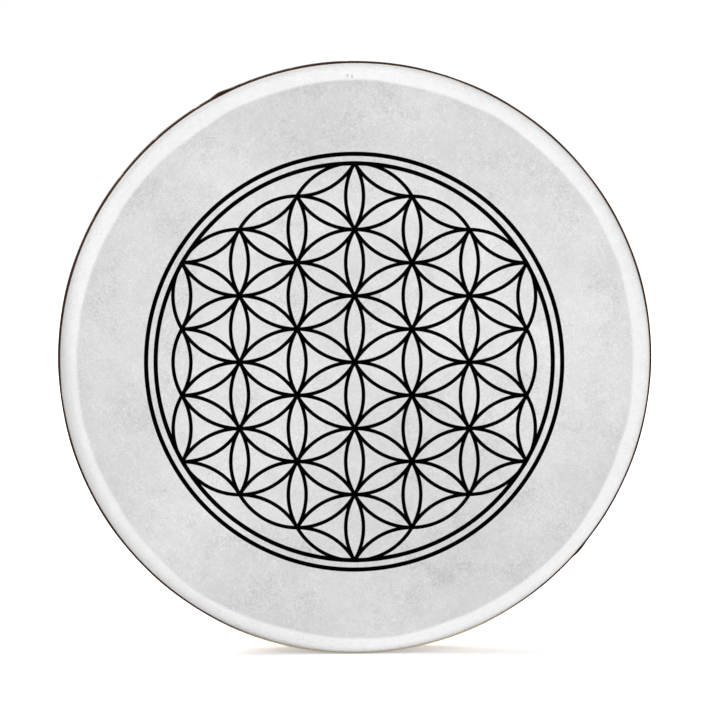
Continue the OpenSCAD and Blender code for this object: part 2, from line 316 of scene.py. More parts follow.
painted_shade_to_edge = add(hide, "MapRange", {0: from_axis, 1: thin_r, 2: thick_r, 3: 0.16, 4: 0.24},
          interpolation_type="SMOOTHSTEP")
painted_hoop_shadow = add(hide, "MapRange", {0: from_axis, 1: thick_r, 2: bore_r, 3: 0, 4: 0.08})
smudge = add(hide, "MapRange", {0: rough, 1: 0.54, 2: 0.74, 3: 0, 4: 0.22})
free_mottle = mottle
for greyer in (painted_shade_to_edge, painted_hoop_shadow, smudge, *(fading(*thick_place) for thick_place in thick_places)):
    free_mottle = add(hide, "Math", {0: free_mottle, 1: greyer}, operation="SUBTRACT")
free_mottle = add(hide, "Math", {0: free_mottle, 1: free_contrast, 2: free_pale}, operation="MULTIPLY_ADD")
tone = add(hide, "Mix", {0: free_mottle, 6: linear("#b2b2b2"), 7: linear("#eeeeee")}, data_type="RGBA")

# The hoop's edge behind the hide, a little off the middle of the head and not quite even. The hide there is
# painted paler, as painted light that the wood sends back through it. Its rim and shoulder are painted darker
# in places, most of all at the lower left, as painted shade where the bend turns away from the light, and
# painted paler at two places, as painted light. Each place has its x, its z and its reach in millimetres, how
# much paler it is, and how many times that counts on the shoulder.
rest_at = (0.25 * mm, 0, -0.78 * mm)
rest_r = 187.7 * mm
rest_soft = 1.3 * mm
rest_uneven = 6 * mm
rest_sway_w = 70 * mm
shoulder_in_r = 191 * mm
shoulder_out_r = 197 * mm
rim_contrast = 0.55
rim_pale = 0.36
painted_rim_shading = ((-160, -95, 190, -0.23, 3), (200, 10, 150, -0.05, 3), (140, -140, 150, 0.06, 3),
               (-115, 160, 140, -0.15, 1), (40, -190, 62, 0.1, 1), (135, 142, 150, -0.04, 6),
               (-196, -20, 110, -0.05, 4))
sway = add(hide, "TexNoise", {"Vector": place, "Scale": 1 / rest_sway_w, "Detail": 2})
sway = add(hide, "MapRange", {0: sway, 3: -rest_uneven / 2, 4: rest_uneven / 2})
rest_out = add(hide, "VectorMath", {0: flat, 1: rest_at}, operation="DISTANCE")
rim_mottle_and_shade = add(hide, "Math", {0: mottle, 1: rim_contrast, 2: rim_pale}, operation="MULTIPLY_ADD")
# Painted shade and painted light on the rim, counted more on the shoulder
for *shading_place, times in painted_rim_shading:
    shoulder = add(hide, "MapRange", {0: rest_out, 1: shoulder_in_r, 2: shoulder_out_r, 3: 1, 4: times})
    rim_mottle_and_shade = add(hide, "Math", {0: fading(*shading_place), 1: shoulder, 2: rim_mottle_and_shade},
                     operation="MULTIPLY_ADD")

# Streaks that run round the shoulder, where the wet hide was rubbed down over the hoop
streak_l = 4 * mm
streak_w = 0.7 * mm
streaked_in_r = 188.5 * mm
streaked_out_r = 195 * mm
round_rim = add(hide, "VectorMath", {0: flat}, operation="NORMALIZE")
round_rim = add(hide, "VectorMath", {0: round_rim, "Scale": hide_r / streak_l}, operation="SCALE")
across_rim = add(hide, "Math", {0: from_axis, 1: 1 / streak_w}, operation="MULTIPLY")
across_rim = add(hide, "CombineXYZ", {"Y": across_rim})
streak_at = add(hide, "VectorMath", {0: round_rim, 1: across_rim}, operation="ADD")
streak = add(hide, "TexNoise", {"Vector": streak_at, "Scale": 1, "Detail": 2})
streak = add(hide, "MapRange", {0: streak, 1: 0.55, 2: 0.72, 3: 0, 4: -0.4})
on_shoulder = add(hide, "MapRange", {0: from_axis, 1: streaked_in_r, 2: streaked_out_r})
rim_mottle_and_shade = add(hide, "Math", {0: streak, 1: on_shoulder, 2: rim_mottle_and_shade}, operation="MULTIPLY_ADD")
rest_out = add(hide, "Math", {0: rest_out, 1: sway}, operation="ADD")
# Painted light: the hide over the hoop's edge gets a paler tone, as light that the wood sends back through it
painted_light_over_hoop = add(hide, "MapRange", {0: rest_out, 1: rest_r - rest_soft, 2: rest_r + rest_soft},
              interpolation_type="SMOOTHSTEP")
painted_light_rim_tone = add(hide, "Mix", {0: rim_mottle_and_shade, 6: linear("#d2d2d2"), 7: linear("#f7f7f7")}, data_type="RGBA")
tone = add(hide, "Mix", {0: painted_light_over_hoop, 6: tone, 7: painted_light_rim_tone}, data_type="RGBA")

# Hair holes, most of them closed, and two short scars at the top
hole_pitch = 13 * mm
hole_r = 0.3 * mm
closed_share = 0.88
scar_places = ((-5.9 * mm, 0, 190.4 * mm), (-2.8 * mm, 0, 189.8 * mm))
scar_l = 0.8 * mm
scar_narrow = 2.4
scar_soft = 1 * mm
cell = add(hide, "TexVoronoi", {"Vector": place, "Scale": 1 / hole_pitch})
kept = add(hide, "Math", {0: add(hide, "SeparateColor", {0: cell.outputs["Color"]}), 1: closed_share},
           operation="GREATER_THAN")
speck = add(hide, "MapRange", {0: cell, 1: hole_r / hole_pitch, 2: 2 * hole_r / hole_pitch, 3: 0.6, 4: 0})
mark = add(hide, "Math", {0: speck, 1: kept}, operation="MULTIPLY")
for scar_place in scar_places:
    scar_at = add(hide, "VectorMath", {0: flat, 1: scar_place}, operation="SUBTRACT")
    scar_at = add(hide, "VectorMath", {0: scar_at, 1: (scar_narrow, 0, 1)}, operation="MULTIPLY")
    scar_out = add(hide, "VectorMath", {0: scar_at}, operation="LENGTH")
    scar = add(hide, "MapRange", {0: scar_out, 1: scar_l, 2: scar_l + scar_soft, 3: 0.45, 4: 0})
    mark = add(hide, "Math", {0: mark, 1: scar}, operation="MAXIMUM")
tone = add(hide, "Mix", {0: mark, 6: tone, 7: linear("#5c5650")}, data_type="RGBA")

# The printed figure: nineteen circles a pitch apart and a pitch in radius, whose arcs make petals,
# inside two rings. The arcs of the next circles out show too, where they cross those nineteen. The cell that
# repeats and the centres of circles are given in pitches.
pitch = 44.67 * mm
line_w = 2.5 * mm
ring_w = 2.95 * mm
ring_radii = (133.7 * mm, 140.1 * mm)
figure_at = (-1.06 * mm, 0, -2.1 * mm)
skew = 0.0042
ink_soft = 0.12 * mm
half_cell = (sqrt(3) / 2, 1, 1 / 2)
petal_centre = (1 / 2, 0, -sqrt(3) / 2)
outer_centres = ((2, 0, 0), (3 / 2, 0, sqrt(3) / 2))


def folded(spot):
    """A place in the figure, turned and mirrored into the twelfth part of a turn that repeats."""
    parts = add(hide, "SeparateXYZ", {0: spot}).outputs
    turn = add(hide, "Math", {0: parts["Z"], 1: parts["X"]}, operation="ARCTAN2")
    turn = add(hide, "Math", {0: turn, 1: pi / 6}, operation="SUBTRACT")
    turn = add(hide, "Math", {0: turn, 1: pi / 6}, operation="PINGPONG")
    out = add(hide, "VectorMath", {0: spot}, operation="LENGTH")
    x = add(hide, "Math", {0: out, 1: add(hide, "Math", {0: turn}, operation="COSINE")}, operation="MULTIPLY")
    z = add(hide, "Math", {0: out, 1: add(hide, "Math", {0: turn}, operation="SINE")}, operation="MULTIPLY")
    return add(hide, "CombineXYZ", {"X": x, "Z": z})


def line(distance, width):
    """Ink of a line, from the distance to its middle."""
    away = add(hide, "Math", {0: distance}, operation="ABSOLUTE")
    return add(hide, "MapRange", {0: away, 1: width / 2 - ink_soft, 2: width / 2 + ink_soft, 3: 1, 4: 0})


figure_spot = add(hide, "VectorMath", {0: flat, 1: figure_at}, operation="SUBTRACT")
parts = add(hide, "SeparateXYZ", {0: figure_spot}).outputs
askew = add(hide, "Math", {0: parts["X"], 1: skew, 2: parts["Z"]}, operation="MULTIPLY_ADD")
spot = add(hide, "CombineXYZ", {"X": parts["X"], "Z": askew})
spot = add(hide, "VectorMath", {0: spot, "Scale": 1 / pitch}, operation="SCALE")
low_cell = tuple(-c for c in half_cell)
even_cell = add(hide, "VectorMath", {0: spot, 1: half_cell, 2: low_cell}, operation="WRAP")
odd_spot = add(hide, "VectorMath", {0: spot, 1: (half_cell[0], 0, half_cell[2])}, operation="SUBTRACT")
odd_cell = add(hide, "VectorMath", {0: odd_spot, 1: half_cell, 2: low_cell}, operation="WRAP")
odd_nearer = add(hide, "Math", {0: add(hide, "VectorMath", {0: odd_cell}, operation="LENGTH"),
                                1: add(hide, "VectorMath", {0: even_cell}, operation="LENGTH")},
                 operation="LESS_THAN")
cell_spot = add(hide, "Mix", {0: odd_nearer, 4: even_cell, 5: odd_cell}, data_type="VECTOR")
to_centre = add(hide, "VectorMath", {0: folded(cell_spot), 1: petal_centre}, operation="DISTANCE")
off_arc = add(hide, "Math", {0: to_centre, 1: pitch, 2: -pitch}, operation="MULTIPLY_ADD")
whole = folded(spot)
to_outer = [add(hide, "VectorMath", {0: whole, 1: centre}, operation="DISTANCE") for centre in outer_centres]
nearest = add(hide, "Math", {0: to_outer[0], 1: to_outer[1]}, operation="MINIMUM")
from_middle = add(hide, "VectorMath", {0: spot}, operation="LENGTH")
core = add(hide, "Math", {0: from_middle, 1: 1}, operation="SUBTRACT")
nearest = add(hide, "Math", {0: nearest, 1: core}, operation="MINIMUM")
in_figure = add(hide, "Math", {0: nearest, 1: 1 + line_w / 2 / pitch}, operation="LESS_THAN")
ink = add(hide, "Math", {0: line(off_arc, line_w), 1: in_figure}, operation="MULTIPLY")
for radius in ring_radii:
    off_ring = add(hide, "Math", {0: from_middle, 1: pitch, 2: -radius}, operation="MULTIPLY_ADD")
    ink = add(hide, "Math", {0: ink, 1: line(off_ring, ring_w)}, operation="MAXIMUM")

# The back of the hide is its flesh side: warmer, and the figure shows through it faintly, as painted shadow
# of the ink where light would come through the hide
on_back = add(hide, "Math", {0: axes["Y"], 1: front_y + sink + hide_t / 2}, operation="GREATER_THAN")
inside = add(hide, "Math", {0: from_axis, 1: bore_r}, operation="LESS_THAN")
on_back = add(hide, "Math", {0: on_back, 1: inside}, operation="MULTIPLY")
tone = add(hide, "Mix", {0: on_back, 6: tone, 7: linear("#e4ddd0")}, data_type="RGBA", blend_type="MULTIPLY")
# Full ink on the front; on the back, a faint painted shadow of the ink
print_and_show_through = add(hide, "MapRange", {0: on_back, 3: 1, 4: 0.12})
ink = add(hide, "Math", {0: ink, 1: print_and_show_through}, operation="MULTIPLY")
tone = add(hide, "Mix", {0: ink, 6: tone, 7: linear("#000000")}, data_type="RGBA")
fuzz = add(hide, "Bump", {"Height": mottle, "Distance": fuzz_h, "Strength": 0.35})
gloss = add(hide, "MapRange", {0: mottle, 3: 0.7, 4: 0.55})
skin = add(hide, "BsdfPrincipled", {"Base Color": tone, "Roughness": gloss, "Specular IOR Level": 0.005,
                                    "Normal": fuzz})
add(hide, "OutputMaterial", {0: skin})
head = shown("drum_head_hide", head_shape, rawhide)
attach(head, "root")
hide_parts("drum_head")

# Trim band
# One strip of dark vegetable-tanned leather, cut 16 mm wide and wrapped around the skirt of the hide.
# Its two ends are skived thin and lapped at the upper left, so the band swells there. It is a little
# thicker at both sides than at the top and bottom, and puckers between two tacks at the lower right.
band_low, band_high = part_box("trim_band")
band_y = (band_low.y + band_high.y) / 2
band_w = band_high.y - band_low.y
band_r = 200 * mm
band_t = 1.3 * mm
band_in_r = band_r - band_t
band_edge_r = 0.3 * mm
lap_turn = radians(117)
lap_before = 11 * mm
lap_after = 7 * mm
lap_slack = 0.1 * mm
tip_t = 0.15 * mm
tip_end = 4 * mm
cut_t = 0.4 * mm
ripple = 0.06 * mm
ripple_l = 23 * mm
small_ripple_l = 9 * mm
thick_more = 0.12 * mm
thick_turn = radians(10)
pucker_turn = radians(319.5)
pucker_l = 10 * mm
pucker_rise = 0.7 * mm
tack_count = 36
tack_head_r = 3 * mm
tack_seat_r = 199.5 * mm
press_r = 6.5 * mm
band_round = 2 * pi * band_r
band_l = band_round + lap_before + lap_after
band_steps = 800
band_rows = 15
edge_steps = 3
band_sharp = radians(50)
tack_turns = [lap_turn + (k + 0.5) * 2 * pi / tack_count for k in range(tack_count)]


def under_lap(place_l):
    """Thickness of the lower end of the band, along the lap."""
    return tip_t + (band_t - tip_t) * smooth(place_l, -lap_before, tip_end)


band_shape = bmesh.new()
half_w = band_w / 2
flat_w = half_w - band_edge_r
corners = ((-flat_w, band_edge_r, pi), (flat_w, band_edge_r, 3 * pi / 2),
           (flat_w, band_t - band_edge_r, 0), (-flat_w, band_t - band_edge_r, pi / 2))
upward = Vector((0, 0, 1))
outer_face = [Vector((0, flat_w - 2 * flat_w * row / band_rows, band_t)) for row in range(1, band_rows)]
outline = []
for side, height, start in corners:
    outline += arc(Vector((0, side, height)), inward, upward, band_edge_r, start, start + pi / 2, edge_steps)
    if start == 0:
        outline += outer_face
verts = [band_shape.verts.new(p) for p in outline]
edges = [band_shape.edges.new((verts[i - 1], verts[i])) for i in range(len(verts))]
bmesh.ops.spin(band_shape, geom=verts + edges, cent=(0, 0, 0), axis=(0, 0, 1), angle=0, steps=band_steps,
               dvec=(band_l / band_steps, 0, 0))
bmesh.ops.holes_fill(band_shape, edges=band_shape.edges)
bmesh.ops.recalc_face_normals(band_shape, faces=band_shape.faces)
for v in band_shape.verts:
    place_l = v.co.x - lap_before
    over_l = place_l - band_round
    thickness = min(under_lap(place_l), band_t - (band_t - cut_t) * smooth(over_l, 0, lap_after))
    lift = under_lap(over_l) - tip_t + tip_t * smooth(over_l, -2 * lap_before, -lap_before)
    lift += lap_slack * (1 - smooth(abs(over_l), 0, lap_before))
    turn_here = place_l / band_r
    near = min(abs(turn_here - (t - lap_turn)) for t in tack_turns) * band_r
    press = smooth(hypot(near, v.co.y), press_r, tack_head_r) * v.co.z / band_t
    t = lap_turn + turn_here
    swell = ripple * (sin(place_l / ripple_l) + sin(place_l / small_ripple_l + 2))
    swell += thick_more * cos(2 * (t - thick_turn))
    off_pucker = abs((t - pucker_turn + pi) % (2 * pi) - pi) * band_r
    swell += pucker_rise * (1 - smooth(off_pucker, 0, pucker_l))
    swell *= v.co.z / band_t
    radius = band_in_r + lift + v.co.z * thickness / band_t + swell - press * (band_r - tack_seat_r)
    v.co = (radius * cos(t), band_y + v.co.y, radius * sin(t))

# Waxed bridle leather: a dull dark brown with a fine pebbled grain, rubbed paler along the face's edges and
# on the lap, which stands proud. Its cut edges are burnished nearly black. The dye went only part of the way
# into them, and has worn off at the bottom, where the drum is stood. The pebbles are drawn twice as wide as
# they are.
bridle = material("waxed_bridle_leather")
leather = bridle.node_tree
place = add(leather, "TexCoord", {}).outputs["Object"]
axes = add(leather, "SeparateXYZ", {0: place}).outputs
pebble_w = 1.2 * mm
pebble_h = 0.16 * mm
patch_w = 14 * mm
rubbed_w = 1.2 * mm
proud_low = 0.3 * mm
proud_high = 1.1 * mm
dyed_in = 0.15 * mm
dyed_out = 0.6 * mm
stood_turn = radians(274)
stood_reach = radians(35)
stood_most = 0.98
pebble = add(leather, "TexVoronoi", {"Vector": place, "Scale": 1 / pebble_w}, feature="SMOOTH_F1")
patch = add(leather, "TexNoise", {"Vector": place, "Scale": 1 / patch_w, "Detail": 4})
off_middle = add(leather, "Math", {0: axes["Y"], 1: band_y}, operation="SUBTRACT")
off_middle = add(leather, "Math", {0: off_middle}, operation="ABSOLUTE")
rubbed = add(leather, "MapRange", {0: off_middle, 1: half_w - rubbed_w, 2: half_w, 3: 0, 4: 0.55},
             interpolation_type="SMOOTHSTEP")
worn = add(leather, "MapRange", {0: patch, 1: 0.4, 2: 0.75, 3: 0, 4: 1})
rubbed = add(leather, "Math", {0: rubbed, 1: worn}, operation="MULTIPLY")
out = off_axis(leather, place)[1]
proud = add(leather, "MapRange", {0: out, 1: band_r + proud_low, 2: band_r + proud_high, 3: 0, 4: 0.85})
rubbed = add(leather, "Math", {0: rubbed, 1: proud}, operation="MAXIMUM")
stood_way = (cos(stood_turn) / band_r, 0, sin(stood_turn) / band_r)
stood = add(leather, "VectorMath", {0: place, 1: stood_way}, operation="DOT_PRODUCT").outputs["Value"]
stood = add(leather, "MapRange", {0: stood, 1: cos(stood_reach), 2: stood_most},
            interpolation_type="SMOOTHSTEP")
undyed = add(leather, "MapRange", {0: out, 1: band_in_r + dyed_in, 2: band_in_r + dyed_out, 3: 1, 4: 0})
cut_edge = add(leather, "MapRange", {0: off_middle, 1: half_w - band_edge_r, 2: half_w - band_edge_r / 2})
stood = add(leather, "Math", {0: stood, 1: cut_edge}, operation="MULTIPLY")
undyed = add(leather, "Math", {0: undyed, 1: cut_edge}, operation="MULTIPLY")
tone = add(leather, "Mix", {0: patch, 6: linear("#25150a"), 7: linear("#412a18")}, data_type="RGBA")
# Painted shade: the creases between the pebbles are painted darker
tone = add(leather, "Mix", {0: add(leather, "MapRange", {0: pebble, 1: 0.3, 2: 0.8, 4: 0.75}), 6: tone,
                            7: linear("#100803")}, data_type="RGBA")
tone = add(leather, "Mix", {0: rubbed, 6: tone, 7: linear("#4f2f16")}, data_type="RGBA")
tone = add(leather, "Mix", {0: cut_edge, 6: tone, 7: linear("#281305")}, data_type="RGBA")
tone = add(leather, "Mix", {0: undyed, 6: tone, 7: linear("#623c0d")}, data_type="RGBA")
tone = add(leather, "Mix", {0: stood, 6: tone, 7: linear("#d0bf9f")}, data_type="RGBA")
dent = add(leather, "Math", {0: pebble, 1: -1}, operation="MULTIPLY")
grain = add(leather, "Bump", {"Height": dent, "Distance": pebble_h, "Strength": 0.8})
gloss = add(leather, "MapRange", {0: patch, 3: 0.55, 4: 0.72})
skin = add(leather, "BsdfPrincipled", {"Base Color": tone, "Roughness": gloss, "Specular IOR Level": 0.12,
                                       "Normal": grain})
add(leather, "OutputMaterial", {0: skin})
band = shown("trim_band_leather", band_shape, bridle)
band.data.set_sharp_from_angle(angle=band_sharp)
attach(band, "root")
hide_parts("trim_band")

# Band tacks
# Low-crowned brass upholstery tacks, hammered through band and hide into the wood until their heads
# sit in the leather. Each was struck a little differently, so the heads tilt and turn.
crown = 0.5 * mm
rim_h = 0.25 * mm
dome_edge_r = 0.95 * tack_head_r
shank_r = 0.7 * mm
shank_l = 9 * mm
point_from = 0.8 * shank_l
tack_steps = 20
dome_steps = 6
tack_sharp = radians(40)
tilt_most = radians(2)
dome_r = (tack_head_r ** 2 + (crown - rim_h) ** 2) / 2 / (crown - rim_h)
dome = arc(Vector((0, crown - dome_r, 0)), inward, across, dome_r, 0, asin(dome_edge_r / dome_r), dome_steps)
tack_profile = dome + [Vector((tack_head_r, rim_h * 0.7, 0)), Vector((tack_head_r, rim_h * 0.3, 0)),
                       Vector((dome_edge_r, 0, 0)), Vector((shank_r, 0, 0)),
                       Vector((shank_r, -point_from, 0)), Vector((0, -shank_l, 0))]
tack_shape = spun(tack_profile, tack_steps)
pattern = tack_shape.verts[:] + tack_shape.edges[:] + tack_shape.faces[:]
struck = random.Random(7)
for t in tack_turns:
    copy = bmesh.ops.duplicate(tack_shape, geom=pattern)["geom"]
    lean_x = struck.uniform(-tilt_most, tilt_most)
    lean_z = struck.uniform(-tilt_most, tilt_most)
    tilt = Matrix.Rotation(lean_x, 4, "X") @ Matrix.Rotation(lean_z, 4, "Z")
    seat = Matrix.Translation((0, band_y, 0)) @ Matrix.Rotation(pi / 2 - t, 4, "Y")
    seat = seat @ Matrix.Translation((0, 0, tack_seat_r)) @ Matrix.Rotation(pi / 2, 4, "X")
    bmesh.ops.transform(tack_shape, matrix=seat @ tilt,
                        verts=[part for part in copy if isinstance(part, bmesh.types.BMVert)])
bmesh.ops.delete(tack_shape, geom=pattern, context="VERTS")

# Antique brass: browned, brighter on the rubbed crowns, freckled with tarnish and dinged by the hammer.
brass = material("antique_brass")
metal = brass.node_tree
tarnish_w = 1.6 * mm
ding_w = 1.1 * mm
ding_depth = 0.08 * mm
place = add(metal, "TexCoord", {}).outputs["Object"]
out = off_axis(metal, place)[1]
tarnish = add(metal, "TexNoise", {"Vector": place, "Scale": 1 / tarnish_w, "Detail": 4})
high = add(metal, "MapRange", {0: out, 1: tack_seat_r + rim_h * 0.6, 2: tack_seat_r + crown})
bright = add(metal, "Math", {0: tarnish, 1: 0.9, 2: -0.25}, operation="MULTIPLY_ADD")
bright = add(metal, "Math", {0: bright, 1: high}, operation="ADD", use_clamp=True)
tone = add(metal, "Mix", {0: bright, 6: linear("#33251a"), 7: linear("#7d6238")}, data_type="RGBA")
gloss = add(metal, "MapRange", {0: bright, 3: 0.6, 4: 0.38})
ding = add(metal, "TexNoise", {"Vector": place, "Scale": 1 / ding_w, "Detail": 1})
dings = add(metal, "Bump", {"Height": ding, "Distance": ding_depth, "Strength": 0.35})
skin = add(metal, "BsdfPrincipled", {"Base Color": tone, "Metallic": 1, "Roughness": gloss, "Normal": dings})
add(metal, "OutputMaterial", {0: skin})
tacks = shown("band_tack_heads", tack_shape, brass)
tacks.data.set_sharp_from_angle(angle=tack_sharp)
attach(tacks, "root")
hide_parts("band_tacks")

# Grip ring
# A ring of 8 mm steel bar, bent and welded, which lies inside the sewn leather cover.
# The solid stays, and gets the dull, mill-scaled surface of bar stock.
steel = material("mill_scaled_steel")
bar = steel.node_tree
scale_w = 3 * mm
place = add(bar, "TexCoord", {}).outputs["Object"]
scale = add(bar, "TexNoise", {"Vector": place, "Scale": 1 / scale_w, "Detail": 5})
tone = add(bar, "Mix", {0: scale, 6: linear("#5b5e63"), 7: linear("#9a9ea3")}, data_type="RGBA")
gloss = add(bar, "MapRange", {0: scale, 3: 0.6, 4: 0.35})
skin = add(bar, "BsdfPrincipled", {"Base Color": tone, "Metallic": 1, "Roughness": gloss})
add(bar, "OutputMaterial", {0: skin})
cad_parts["grip_ring"].data.materials.clear()
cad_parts["grip_ring"].data.materials.append(steel)

# Ring cover
# A strip of brown leather, wetted, wrapped around the steel and sewn along its edges on the player's side.
# The edges meet in a low ridge, drawn in at every stitch, and the waxed thread slants across it.
cover_low, cover_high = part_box("ring_cover")
cover_r = (cover_high.y - cover_low.y) / 2
ring_r = cover_high.x - cover_r
cover_t = 1.9 * mm
seam_w = 0.6 * mm
ridge_h = 0.3 * mm
ridge_turn = radians(16)
stitch_count = 44
stitch_turn = radians(24)
stitch_d = 0.9 * mm
stitch_proud = 0.25 * mm
stitch_dip = 1.1 * mm
draw_depth = 0.35 * mm
draw_r = 1.5 * mm
crease_h = 0.1 * mm
smooth_turn = 0.6
creased_turn = 1.4
lip_r = 0.5 * mm
cover_steps = 264
section_steps = 64
inner_steps = 40
stitch_steps = 12
cover_in_r = cover_r - cover_t
seam_turn = asin(seam_w / 2 / cover_r)
inner_seam_turn = asin(seam_w / 2 / cover_in_r)


def cover_height(turn_round):
    """How far the cover's face lies from the middle of the bar, by the turn from the seam."""
    from_seam = min(turn_round, 2 * pi - turn_round)
    ridge = ridge_h * (1 - smooth(from_seam, 0, 2 * ridge_turn))
    lip = lip_r * (1 - smooth(from_seam, 0, lip_r / cover_r * 2))
    return cover_r + ridge - lip


def on_bar(turn_round, height):
    """A point of the ring's section, by the turn from the seam and the distance from the bar's middle."""
    return Vector((ring_r + height * sin(turn_round), height * cos(turn_round), 0))


span = 2 * (pi - seam_turn)
dense = [0.5 - 0.5 * cos(pi * i / section_steps) for i in range(section_steps + 1)]
outer = [on_bar(seam_turn + span * s, cover_height(seam_turn + span * s)) for s in dense]
inner = arc(Vector((ring_r, 0, 0)), inward, across, cover_in_r, inner_seam_turn, 2 * pi - inner_seam_turn,
            inner_steps)
cover_shape = spun(outer + inner[::-1], cover_steps)
step = 2 * pi / stitch_count
for v in cover_shape.verts:
    t = atan2(v.co.z, v.co.x)
    radial = Vector((cos(t), 0, sin(t)))
    section = v.co - ring_r * radial
    height = section.length
    side = atan2(section.dot(radial), section.y)
    if height > cover_r - cover_t / 2:
        slant = step / 2 if side > 0 else 0
        off_hole = ((t - slant + step / 2) % step - step / 2) * ring_r
        gap = hypot(off_hole, (abs(side) - stitch_turn) * cover_r)
        draw = draw_depth * (1 - smooth(gap, 0, draw_r))
        crease = crease_h * smooth(abs(side), smooth_turn, creased_turn)
        crease *= sin(37 * t + 3 * side) * sin(23 * t - 2 * side)
        v.co += section / height * (crease - draw)

# Oiled chestnut leather: a warm brown with a fine pebbled grain, drawn as coarse as the band's, and with
# darker patches from the hand. The oil gives it a soft shine.
chestnut = material("oiled_chestnut_leather")
leather = chestnut.node_tree
hand_patch_w = 9 * mm
oiled_pebble_h = 0.2 * mm
place = add(leather, "TexCoord", {}).outputs["Object"]
pebble = add(leather, "TexVoronoi", {"Vector": place, "Scale": 1 / pebble_w}, feature="SMOOTH_F1")
patch = add(leather, "TexNoise", {"Vector": place, "Scale": 1 / hand_patch_w, "Detail": 5})
tone = add(leather, "Mix", {0: add(leather, "MapRange", {0: patch, 1: 0.3, 2: 0.7}), 6: linear("#4a2a13"),
                            7: linear("#6d4120")}, data_type="RGBA")
# Painted shade: the creases between the pebbles are painted darker
tone = add(leather, "Mix", {0: add(leather, "MapRange", {0: pebble, 1: 0.3, 2: 0.8, 4: 0.5}), 6: tone,
                            7: linear("#331b0b")}, data_type="RGBA")
dent = add(leather, "Math", {0: pebble, 1: -1}, operation="MULTIPLY")
grain = add(leather, "Bump", {"Height": dent, "Distance": oiled_pebble_h, "Strength": 0.9})
gloss = add(leather, "MapRange", {0: patch, 3: 0.38, 4: 0.58})
skin = add(leather, "BsdfPrincipled", {"Base Color": tone, "Roughness": gloss, "Normal": grain})
add(leather, "OutputMaterial", {0: skin})
cover = shown("ring_cover_leather", cover_shape, chestnut)
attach(cover, "root")
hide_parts("ring_cover")


def laid(name, routes, radius, resolution, finish):
    """Threads along routes of points, as one mesh with a UV map that runs along each thread."""
    data = bpy.data.curves.new(name, "CURVE")
    data.dimensions = "3D"
    data.bevel_depth = radius
    data.bevel_resolution = resolution
    data.use_fill_caps = True
    for route in routes:
        spline = data.splines.new("POLY")
        spline.points.add(len(route) - 1)
        for point, p in zip(spline.points, route):
            point.co = (*p, 1)
    drawn = bpy.data.objects.new(name + "_drawn", data)
    bpy.context.scene.collection.objects.link(drawn)
    shape = bmesh.new()
    mesh = bpy.data.meshes.new_from_object(drawn)
    shape.from_mesh(mesh)
    bpy.data.objects.remove(drawn)
    bpy.data.meshes.remove(mesh)
    bmesh.ops.remove_doubles(shape, verts=shape.verts, dist=0.0005 * mm)
    bmesh.ops.recalc_face_normals(shape, faces=shape.faces)
    return shown(name, shape, finish)


# Waxed linen thread: pale, with the dull shine of wax, and a little frayed, drawn coarser than it is.
linen = material("waxed_linen_thread")
thread = linen.node_tree
fray_w = 0.5 * mm
fray_h = 0.1 * mm
place = add(thread, "TexCoord", {}).outputs["Object"]
fray = add(thread, "TexNoise", {"Vector": place, "Scale": 1 / fray_w, "Detail": 3})
tone = add(thread, "Mix", {0: fray, 6: linear("#c9b48a"), 7: linear("#efe0bf")}, data_type="RGBA")
nap = add(thread, "Bump", {"Height": fray, "Distance": fray_h, "Strength": 0.5})
skin = add(thread, "BsdfPrincipled", {"Base Color": tone, "Roughness": 0.6, "Normal": nap})
add(thread, "OutputMaterial", {0: skin})
stitches = []
for k in range(stitch_count):
    stitch = []
    for i in range(stitch_steps + 1):
        q = 2 * i / stitch_steps - 1
        here = step * k + step * (q + 1) / 4
        p = on_bar(stitch_turn * q, cover_r + ridge_h + stitch_proud - stitch_dip * q ** 6)
        stitch.append(Matrix.Rotation(-here, 3, "Y") @ p)
    stitches.append(stitch)
stitching = laid("ring_cover_stitches", stitches, stitch_d / 2, 1, linen)
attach(stitching, "root")

# Arm cords
# Four cords of three-strand laid cotton, 4 mm thick. Each goes out through one hole of the hoop and in
# through the next, and both halves go round the grip ring and back to their cut ends.
cord_r = 2 * mm
strand_x = 2.25 * mm
cord_gap = 0.3 * mm
corner_r = 4 * mm
leg_spread = 32 * mm
bight_proud = 0.4 * mm
bend_at_whip_r = 15 * mm
whip_d = 2.4 * mm
whip_gap = 0.5 * mm
whip_turns = 8
whip_set = 28 * mm
whip_margin = 4 * mm
tail_l = 7 * mm
strand_r = 0.96 * mm
strand_out = 1.04 * mm
lay_l = 13 * mm
splay = 0.35 * mm
splay_share = 0.012
cord_step = 0.9 * mm
bend_points = 6
corner_points = 10
bight_points = 8
loop_points = 36
loop_r = cover_r + cord_gap + cord_r
bight_r = hoop_r + bight_proud - cord_r
whip_start_z = ring_r + whip_set
whip_end_z = whip_start_z + whip_turns * (whip_d + whip_gap)
flare_z = whip_start_z - whip_margin
fork_z = whip_end_z + whip_margin
corner_out = bight_r - corner_r
corner_turn = asin((leg_spread / 2 - corner_r) / corner_out)
corner_at = Vector((corner_out * sin(corner_turn), -strand_x, corner_out * cos(corner_turn)))
leg_x = corner_at.x - strand_x
leg_z = corner_at.z - fork_z
leg_lean = atan2(leg_x, leg_z) + asin(corner_r / hypot(leg_x, leg_z))
leg_top = corner_at + corner_r * Vector((cos(leg_lean), 0, -sin(leg_lean)))
flare_turn = asin(loop_r / hypot(strand_x, flare_z - ring_r)) - atan2(strand_x, flare_z - ring_r)
loop_end = Vector((strand_x, loop_r * cos(flare_turn), ring_r + loop_r * sin(flare_turn)))
loop_start = Vector((strand_x, -loop_end.y, loop_end.z))
fork = Vector((strand_x, -strand_x, fork_z))
flare = Vector((strand_x, -strand_x, flare_z))
flare_back = Vector((strand_x, strand_x, flare_z))
tail_end = Vector((strand_x, strand_x, whip_end_z + tail_l))


